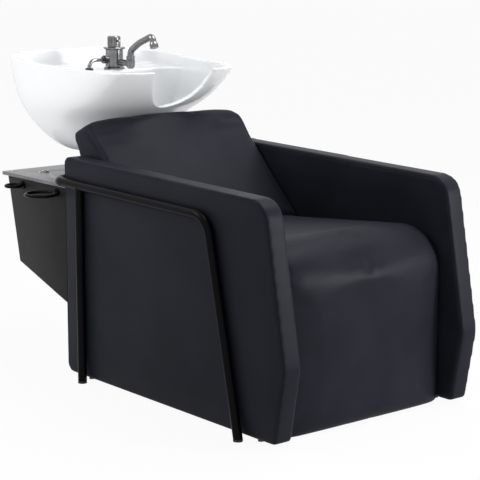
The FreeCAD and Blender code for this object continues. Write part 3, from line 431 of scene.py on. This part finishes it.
def bevel_flat_edges(piece: bpy.types.Object, width: float, segments: int) -> None:
    """Round the edges that lie in one plane across X, such as a slab's two outlines.

    Args:
        piece: The slab.
        width: Width of the rounding.
        segments: Steps across it.
    """
    take(piece)
    bpy.ops.object.mode_set(mode="EDIT")
    bpy.ops.mesh.select_mode(type="EDGE")
    bpy.ops.object.mode_set(mode="OBJECT")
    for edge in piece.data.edges:
        a, b = (piece.data.vertices[i].co for i in edge.vertices)
        edge.select = abs(a.x - b.x) < SAME_PLACE
    bpy.ops.object.mode_set(mode="EDIT")
    bpy.ops.mesh.bevel(offset=width, segments=segments, affect="EDGES", clamp_overlap=True)
    bpy.ops.object.mode_set(mode="OBJECT")


def remesh(piece: bpy.types.Object, voxel: float) -> None:
    """Give a closed piece an even mesh.

    Args:
        piece: The closed piece.
        voxel: Size of a face.
    """
    take(piece)
    piece.data.remesh_voxel_size = voxel
    bpy.ops.object.voxel_remesh()


def swell(piece: bpy.types.Object, pressure: float, cap: float, held: Callable[[Vector], bool]) -> None:
    """Blow a pad up as cloth, with its held points fixed and every move capped.

    Args:
        piece: Evenly meshed closed pad.
        pressure: Pressure inside it.
        cap: Longest move of a point.
        held: Tells whether a point is sewn or tacked down.
    """
    scene = bpy.context.scene
    take(piece)
    rest = [vertex.co.copy() for vertex in piece.data.vertices]
    pins = piece.vertex_groups.new(name="held")
    pins.add([i for i, spot in enumerate(rest) if held(spot)], 1.0, "REPLACE")
    cloth = piece.modifiers.new("Cloth", "CLOTH")
    for setting, value in LEATHER_CLOTH.items():
        setattr(cloth.settings, setting, value)
    cloth.settings.use_pressure = True
    cloth.settings.uniform_pressure_force = pressure
    cloth.settings.effector_weights.gravity = 0.0
    cloth.settings.vertex_group_mass = pins.name
    cloth.collision_settings.use_collision = False
    for frame in range(1, CLOTH_FRAMES + 1):
        scene.frame_set(frame)
    blown = piece.evaluated_get(bpy.context.evaluated_depsgraph_get()).to_mesh()
    moves = [vertex.co - spot for vertex, spot in zip(blown.vertices, rest)]
    piece.modifiers.remove(cloth)
    for vertex, spot, move in zip(piece.data.vertices, rest, moves):
        vertex.co = spot + (move * (cap / move.length) if move.length > cap else move)
    piece.vertex_groups.clear()
    scene.frame_set(1)


def seam_tree(lines: Sequence[Sequence[Vector]]) -> KDTree:
    """Sort the points of all seams for a quick search.

    Args:
        lines: Points along each seam.

    Returns:
        A tree that finds the nearest of them.
    """
    points = [spot for line in lines for spot in line]
    tree = KDTree(len(points))
    for i, spot in enumerate(points):
        tree.insert(spot, i)
    tree.balance()
    return tree


def crease(piece: bpy.types.Object, lines: Sequence[Sequence[Vector]], depth: float, width: float) -> None:
    """Draw a padded surface in along its seams.

    Args:
        piece: Finely meshed pad.
        lines: Points along each seam.
        depth: Depth of the crease.
        width: Distance over which it fades.
    """
    tree = seam_tree(lines)
    normals = [vertex.normal.copy() for vertex in piece.data.vertices]
    for vertex, normal in zip(piece.data.vertices, normals):
        distance = tree.find(vertex.co)[2]
        if distance < CREASE_REACH * width:
            vertex.co -= normal * (depth * math.exp(-((distance / width) ** 2)))


def seam_line(places: Sequence[Place], x: float, step: float = 0.004) -> List[Vector]:
    """Lay even points along a side line.

    Args:
        places: Corners of the line, along Y and Z.
        x: Place of the line across the object.
        step: Distance between points.

    Returns:
        The points in order.
    """
    line: List[Vector] = []
    for (y0, z0), (y1, z1) in zip(places, places[1:]):
        count = max(1, round(math.hypot(y1 - y0, z1 - z0) / step))
        line += [Vector((x, y0 + (y1 - y0) * i / count, z0 + (z1 - z0) * i / count)) for i in range(count)]
    line.append(Vector((x, *places[-1])))
    return line


def on_surface(pad: bpy.types.Object, line: Sequence[Vector]) -> List[Vector]:
    """The nearest points of a pad's surface to a line."""
    return [pad.closest_point_on_mesh(spot)[1] for spot in line]


def welt(name: str, line: Sequence[Vector], radius: float) -> bpy.types.Object:
    """Sewn cord along a seam.

    Args:
        name: Name of the piece.
        line: Points that it follows.
        radius: Radius of the cord.

    Returns:
        A tube mesh with closed ends.
    """
    curve = bpy.data.curves.new(name, "CURVE")
    curve.dimensions = "3D"
    curve.bevel_depth = radius
    curve.bevel_resolution = 2
    curve.use_fill_caps = True
    spots = list(line)[::WELT_STRIDE]
    spline = curve.splines.new("POLY")
    spline.points.add(len(spots) - 1)
    for point, spot in zip(spline.points, spots):
        point.co = (*spot, 1.0)
    piece = bpy.data.objects.new(name, curve)
    bpy.context.collection.objects.link(piece)
    take(piece)
    bpy.ops.object.convert(target="MESH")
    smooth_shaded(piece, SOFT_SHADING)
    return piece


def node_copy(node: str, name: str) -> bpy.types.Object:
    """Copy a frame node's mesh, with its corners merged and its stored normals cleared.

    Args:
        node: The frame node.
        name: Name of the new piece.

    Returns:
        The new piece.
    """
    source = bpy.data.objects[node]
    piece = bpy.data.objects.new(name, source.data.copy())
    piece.data.materials.clear()
    bpy.context.collection.objects.link(piece)
    take(piece)
    bpy.ops.mesh.customdata_custom_splitnormals_clear()
    bpy.ops.object.mode_set(mode="EDIT")
    bpy.ops.mesh.select_all(action="SELECT")
    bpy.ops.mesh.remove_doubles(threshold=MERGE_DISTANCE)
    bpy.ops.object.mode_set(mode="OBJECT")
    return piece


class Workshop:
    """Holds the frame and the finishes, and seats each piece on its body."""

    def __init__(self) -> None:
        """Load the frame and make every finish."""
        self.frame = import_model()
        self.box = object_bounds()
        self.materials = {slot: finish.material(slot) for slot, finish in FINISHES.items()}
        self.slots = {row["node"]: row["material_slot"] for row in self.frame["record"]["subparts"]}
        self.bodies = {
            node: body
            for body, nodes in self.frame["record"]["behaviour"]["bodies"].items()
            for node in nodes
        }

    def dress_nodes(self) -> None:
        """Give every frame node its finish."""
        for node, piece in self.frame["nodes"].items():
            piece.data.materials.clear()
            piece.data.materials.append(self.materials[self.slots[node]])
            log.info("dressed %s", node)

    def add(self, piece: bpy.types.Object, slot: str, body: str, *nodes: str) -> bpy.types.Object:
        """Finish a new piece and seat it.

        Args:
            piece: The new mesh.
            slot: Its finish.
            body: The body that it rides on.
            nodes: Frame nodes that it stands for.

        Returns:
            The same piece.
        """
        piece.data.materials.clear()
        piece.data.materials.append(self.materials[slot])
        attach(piece, body)
        if nodes:
            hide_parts(*nodes)
        log.info("made %s on %s", piece.name, body)
        return piece

    def finish(self) -> None:
        """Last step of the build; it does nothing."""


@dataclass
class Upholstery:
    """Leather pads of the chair: two arms, the seat and the back."""

    workshop: Workshop
    voxel: float = 0.0075
    welt_r: float = 0.0015
    welt_inset: float = 0.007
    arm_edge_r: float = 0.009
    arm_seam: float = 0.006
    arm_corner_back: float = 0.079
    arm_top_fall: float = 0.016
    arm_knee_rise: float = 0.193
    arm_toe_back: float = 0.039
    arm_shrink: float = 0.003
    arm_heel_r: float = 0.028
    arm_rear_top_r: float = 0.018
    arm_front_top_r: float = 0.062
    arm_knee_r: float = 0.026
    arm_toe_r: float = 0.012
    arm_cap: float = 0.004
    arm_fill: float = 0.8
    arm_edge_steps: int = 4
    seam_foot: float = 0.012
    seam_foot_slant: float = 0.03
    foot_held: float = 0.01
    pressure: float = 3.0
    pad_cap: float = 0.006
    pad_fill: float = 0.7
    arm_softening: int = 4
    pad_softening: int = 3
    crease_depth: float = 0.0016
    crease_width: float = 0.004
    seat_rear_z: float = 0.437
    seat_front_r: float = 0.112
    seat_roll_steps: int = 12
    back_top: Place = (-0.1148, 0.727)
    back_top_rear: Place = (-0.055, 0.688)
    back_kink: Place = (-0.083, 0.625)
    back_foot_z: float = 0.450
    back_corner_r: float = 0.022
    back_push: float = 0.012
    back_bulge: float = 0.019
    back_bulge_from: float = 0.014
    back_bulge_rise: float = 0.040
    back_bulge_reach: float = 0.070

    def build(self) -> None:
        """Make every pad."""
        self.arms()
        self.pad("seat", "seat_cushion", self.seat_path())
        self.pad("back", "back_cushion", self.back_path())

    def seat_path(self) -> List[Place]:
        """Work out the line of the seat's side seam.

        Returns:
            Its places over the top and down the front.
        """
        low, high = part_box("seat_cushion")
        corners = [
            (high.y, self.seat_rear_z, 0.0),
            (low.y, high.z, self.seat_front_r),
            (low.y, low.z, 0.0),
            (high.y, low.z, 0.0),
        ]
        return rounded_outline(corners, self.seat_roll_steps)[:-1]

    def back_path(self) -> List[Place]:
        """Work out the line of the back's side seam.

        Returns:
            Its places up the front, over the top and down behind.
        """
        low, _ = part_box("back_cushion")
        corners = [
            (low.y, self.back_foot_z, 0.0),
            (*self.back_top, self.back_corner_r),
            (*self.back_top_rear, self.back_corner_r),
            (*self.back_kink, 0.0),
        ]
        return rounded_outline(corners)

    def arm_corners(self) -> List[Corner]:
        """Work out the side outline of an arm from its frame node.

        Returns:
            Its corners from the heel, round the top, to the toe.
        """
        low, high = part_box("arm_pad_right")
        s = self.arm_shrink
        return [
            (high.y - s, low.z, self.arm_heel_r),
            (high.y - s, high.z - s, self.arm_rear_top_r),
            (low.y + self.arm_corner_back, high.z - self.arm_top_fall - s, self.arm_front_top_r),
            (low.y + s, low.z + self.arm_knee_rise, self.arm_knee_r),
            (low.y + self.arm_toe_back, low.z, self.arm_toe_r),
        ]

    def arm_seam_path(self) -> List[Place]:
        """Work out the line of an arm's seam, which leaves the foot open.

        Returns:
            Its places up the rear, along the top and down the front.
        """
        low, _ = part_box("arm_pad_right")
        seam = rounded_outline(inset_corners(self.arm_corners(), self.arm_seam))
        drop = [place for place in seam if place[1] > low.z + self.seam_foot_slant]
        start = max(range(len(drop)), key=lambda i: drop[i][0] - drop[i][1])
        path = drop[start:] + drop[:start]
        foot_z = low.z + self.seam_foot
        return [(path[0][0], foot_z)] + path + [(path[-1][0] + self.seam_foot_slant, foot_z)]

    def arms(self) -> None:
        """Make the near arm and mirror it for the far one."""
        low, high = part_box("arm_pad_right")
        faces = (low.x + self.arm_shrink, high.x - self.arm_shrink)
        pad = slab("arm_right", rounded_outline(self.arm_corners()), *faces)
        bevel_flat_edges(pad, self.arm_edge_r, self.arm_edge_steps)
        remesh(pad, self.voxel)
        path = self.arm_seam_path()
        seams = [seam_line(path, x) for x in faces]
        tree = seam_tree(seams)

        def held(spot: Vector) -> bool:
            """Points at the seams and the foot stay."""
            return tree.find(spot)[2] < self.voxel or spot.z < low.z + self.foot_held

        swell(pad, self.pressure, self.arm_cap, held)
        apply_modifier(pad, "SMOOTH", factor=0.5, iterations=self.arm_softening)
        apply_modifier(pad, "SUBSURF", levels=1, render_levels=1)
        crease(pad, seams, self.crease_depth, self.crease_width)
        smooth_shaded(pad, SOFT_SHADING)
        cords = [on_surface(pad, line) for line in seams]
        for side in Side:
            self.arm_side(pad, cords, side)
        bpy.data.objects.remove(pad)

    def arm_side(self, pad: bpy.types.Object, cords: Sequence[Sequence[Vector]], side: Side) -> None:
        """Place a copy of the finished arm and its welts on one side.

        Args:
            pad: The finished near arm.
            cords: Points along its outer and inner seams.
            side: Where the copy goes.
        """
        name = side.name.lower()
        turn = -float(side.value)
        copy = bpy.data.objects.new("arm_" + name + "_leather", pad.data.copy())
        bpy.context.collection.objects.link(copy)
        if turn < 0:
            take(copy)
            copy.scale.x = -1.0
            bpy.ops.object.transform_apply(location=False, rotation=False, scale=True)
            bpy.ops.object.mode_set(mode="EDIT")
            bpy.ops.mesh.select_all(action="SELECT")
            bpy.ops.mesh.normals_make_consistent(inside=False)
            bpy.ops.object.mode_set(mode="OBJECT")
        self.workshop.add(copy, "black_leather", "chair", "arm_pad_" + name)
        for place, cord in zip(("outer", "inner"), cords):
            line = [Vector((spot.x * turn, spot.y, spot.z)) for spot in cord]
            strip = welt("arm_" + name + "_welt_" + place, line, self.welt_r)
            self.workshop.add(strip, "black_leather", "chair")

    def fuller_sides(self, piece: bpy.types.Object) -> None:
        """Press the sides of the back to the arms, and let them stand out above.

        Args:
            piece: The back pad.
        """
        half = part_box("back_cushion")[1].x
        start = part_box("arm_pad_right")[1].z + self.back_bulge_from
        for vertex in piece.data.vertices:
            rise = min(max((vertex.co.z - start) / self.back_bulge_rise, 0.0), 1.0)
            reach = max((abs(vertex.co.x) - half) / self.back_bulge_reach + 1.0, 0.0)
            push = self.back_push + (self.back_bulge - self.back_push) * rise
            vertex.co.x += math.copysign(push * min(reach, 1.0), vertex.co.x)

    def pad(self, name: str, node: str, path: Sequence[Place]) -> None:
        """Make a pad from its frame node, swollen between its tacked sides.

        Args:
            name: What the pad is of.
            node: Its frame node.
            path: Line of its side seams.
        """
        piece = node_copy(node, name + "_leather")
        remesh(piece, self.voxel)
        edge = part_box(node)[1].x - self.welt_inset

        def held(spot: Vector) -> bool:
            """Points at the two sides stay."""
            return abs(spot.x) > edge

        swell(piece, self.pressure, self.pad_cap, held)
        apply_modifier(piece, "SMOOTH", factor=0.5, iterations=self.pad_softening)
        seam_x = edge
        if node == "back_cushion":
            self.fuller_sides(piece)
            seam_x += self.back_push
        apply_modifier(piece, "SUBSURF", levels=1, render_levels=1)
        seams = {side: on_surface(piece, seam_line(path, side.value * seam_x)) for side in Side}
        crease(piece, list(seams.values()), self.crease_depth, self.crease_width)
        smooth_shaded(piece, SOFT_SHADING)
        self.workshop.add(piece, "black_leather", "chair", node)
        for side, line in seams.items():
            strip = welt(name + "_welt_" + side.name.lower(), on_surface(piece, line), self.welt_r)
            self.workshop.add(strip, "black_leather", "chair")


@dataclass
class WashBowl:
    """Glazed bowl with softened rim."""

    workshop: Workshop
    voxel: float = 0.0042
    softening: int = 12

    def build(self) -> None:
        """Make the glazed bowl over its frame node."""
        piece = node_copy("bowl", "glazed_bowl")
        remesh(piece, self.voxel)
        apply_modifier(piece, "SMOOTH", factor=0.5, iterations=self.softening)
        smooth_shaded(piece, SOFT_SHADING)
        self.workshop.add(piece, "white_ceramic", "bowl", "bowl")


@dataclass
class Boards:
    """Boards and plates with eased edges."""

    workshop: Workshop
    easing: float = 0.0012
    easing_steps: int = 2
    flat_angle: float = 1.0
    shading: float = 40.0
    nodes: Tuple[str, ...] = (
        "cabinet_side_left", "cabinet_side_right", "cabinet_front", "access_panel", "cabinet_floor",
        "top_plate")

    def build(self) -> None:
        """Ease the edges of every board."""
        flat = math.radians(self.flat_angle)
        for node in self.nodes:
            piece = node_copy(node, node + "_eased")
            apply_modifier(piece, "DECIMATE", decimate_type="DISSOLVE", angle_limit=flat)
            apply_modifier(
                piece, "BEVEL", width=self.easing, segments=self.easing_steps, limit_method="ANGLE")
            smooth_shaded(piece, self.shading)
            self.workshop.add(piece, self.workshop.slots[node], "chair", node)


@dataclass
class Metalwork:
    """Tubes, tool rings, tap and waste with true round surfaces."""

    workshop: Workshop
    turn: float = 34.0
    nodes: Tuple[str, ...] = (
        "side_tube_left", "side_tube_right", "rear_cross_tube", "rear_posts", "tube_end_caps",
        "rail_saddles", "dryer_ring", "tongs_ring", "hose_port", "plate_screws", "access_screws",
        "waste_strainer", "waste_tail", "waste_nut", "mixer_body", "mixer_collar", "mixer_knob",
        "knob_lever", "mixer_nut", "inlet_tails", "elbow_nut", "outlet_elbow", "handset_socket",
        "handset_grip", "spray_head", "spray_face", "stand_column")

    def build(self) -> None:
        """Shade every round piece smooth between its true edges."""
        for node in self.nodes:
            piece = node_copy(node, node + "_turned")
            smooth_shaded(piece, self.turn)
            self.workshop.add(piece, self.workshop.slots[node], self.workshop.bodies[node], node)


@dataclass(frozen=True)
class Lamp:
    """A square soft lamp: its place, its aim, the length of its side and its power in watts."""

    place: Tuple[float, float, float]
    aim: Tuple[float, float, float]
    size: float
    power: float
    gridded: bool = False


LAMPS: Dict[str, Lamp] = {
    "key": Lamp((-2.4, 1.3, 2.9), (0.0, 0.0, 0.7), 1.6, 40.0),
    "side": Lamp((-3.0, -0.9, 0.95), (0.0, 0.25, 0.80), 1.0, 3.0, gridded=True),
    "top": Lamp((0.9, -0.9, 3.2), (0.0, -0.4, 0.5), 1.8, 54.0),
    "front": Lamp((1.95, -3.55, 1.25), (0.0, -0.7, 0.4), 1.2, 98.0),
}


@dataclass
class Studio:
    """Pale floor, soft light and the camera."""

    floor_side: float = 40.0
    camera_place: Tuple[float, float, float] = (-2.869, -3.9788, 1.272)
    camera_aim: Tuple[float, float, float] = (0.0572, -0.3928, 0.387)
    focal_px: float = 1665.24
    frame_px: float = 480.0
    sensor: float = 36.0
    ambient: float = 0.31
    shadow_share: float = 0.06
    grid_angle: float = 40.0
    floor_grey: float = 0.85
    floor_rough: float = 0.9

    def build(self) -> None:
        """Make the whole studio."""
        self.floor()
        self.world()
        for name, lamp in LAMPS.items():
            self.hang(name, lamp)
        self.camera()
        bpy.context.scene.view_settings.view_transform = "Standard"

    def seen_white(self, tree: bpy.types.NodeTree) -> bpy.types.NodeSocket:
        """Tell the rays from the camera, a mirror or glass from the rest.

        Args:
            tree: Node tree that the test goes into.

        Returns:
            One for those rays and nought for the rest.
        """
        path = tree.nodes.new("ShaderNodeLightPath")
        total = path.outputs["Is Camera Ray"]
        for name in ("Is Glossy Ray", "Is Transmission Ray"):
            step = tree.nodes.new("ShaderNodeMath")
            step.operation = "MAXIMUM"
            tree.links.new(total, step.inputs[0])
            tree.links.new(path.outputs[name], step.inputs[1])
            total = step.outputs[0]
        return total

    def floor(self) -> None:
        """Pale floor that looks white and keeps a soft shadow."""
        deselect_all()
        bpy.ops.mesh.primitive_plane_add(size=self.floor_side, location=(0, 0, 0))
        floor = bpy.context.object
        floor.name = "studio_floor"
        shader = Shader("studio_floor")
        shader.set(Base_Color=(self.floor_grey,) * 3, Roughness=self.floor_rough)
        tree = shader.tree
        glow = tree.nodes.new("ShaderNodeEmission")
        mix = tree.nodes.new("ShaderNodeMixShader")
        share = tree.nodes.new("ShaderNodeMath")
        share.operation = "MULTIPLY"
        share.inputs[1].default_value = 1.0 - self.shadow_share
        tree.links.new(self.seen_white(tree), share.inputs[0])
        tree.links.new(share.outputs[0], mix.inputs["Fac"])
        tree.links.new(shader.surface.outputs["BSDF"], mix.inputs[1])
        tree.links.new(glow.outputs["Emission"], mix.inputs[2])
        tree.links.new(mix.outputs["Shader"], tree.nodes["Material Output"].inputs["Surface"])
        floor.data.materials.append(shader.material)
        floor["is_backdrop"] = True

    def world(self) -> None:
        """White surround that lights the object less than it shows."""
        world = bpy.data.worlds.new("studio")
        bpy.context.scene.world = world
        world.use_nodes = True
        tree = world.node_tree
        dim = tree.nodes["Background"]
        dim.inputs["Strength"].default_value = self.ambient
        dim.inputs["Color"].default_value = (1.0, 1.0, 1.0, 1.0)
        white = tree.nodes.new("ShaderNodeBackground")
        white.inputs["Strength"].default_value = 1.0
        white.inputs["Color"].default_value = (1.0, 1.0, 1.0, 1.0)
        mix = tree.nodes.new("ShaderNodeMixShader")
        tree.links.new(self.seen_white(tree), mix.inputs["Fac"])
        tree.links.new(dim.outputs["Background"], mix.inputs[1])
        tree.links.new(white.outputs["Background"], mix.inputs[2])
        tree.links.new(mix.outputs["Shader"], tree.nodes["World Output"].inputs["Surface"])

    def hang(self, name: str, lamp: Lamp) -> None:
        """Hang a lamp; a gridded one has a narrow spread and leaves no highlight.

        Args:
            name: Name of the lamp.
            lamp: Its place, aim, size and power.
        """
        light = bpy.data.lights.new(name, "AREA")
        light.size = lamp.size
        light.energy = lamp.power
        hung = bpy.data.objects.new(name, light)
        hung.location = lamp.place
        aim = Vector(lamp.aim) - Vector(lamp.place)
        hung.rotation_euler = aim.to_track_quat("-Z", "Y").to_euler()
        bpy.context.collection.objects.link(hung)
        if lamp.gridded:
            light.spread = math.radians(self.grid_angle)
            hung.visible_glossy = False

    def camera(self) -> None:
        """Camera at the viewing angle of the picture."""
        data = bpy.data.cameras.new("camera")
        data.sensor_width = self.sensor
        data.lens = self.focal_px / self.frame_px * self.sensor
        camera = bpy.data.objects.new("camera", data)
        camera.location = self.camera_place
        aim = Vector(self.camera_aim) - Vector(self.camera_place)
        camera.rotation_euler = aim.to_track_quat("-Z", "Y").to_euler()
        bpy.context.collection.objects.link(camera)
        bpy.context.scene.camera = camera


def main() -> None:
    """Build every class in order."""
    logging.basicConfig(level=logging.INFO, format="%(name)s: %(message)s")
    workshop = Workshop()
    workshop.dress_nodes()
    Upholstery(workshop).build()
    WashBowl(workshop).build()
    Boards(workshop).build()
    Metalwork(workshop).build()
    Studio().build()
    workshop.finish()


if __name__ == "__main__":
    main()
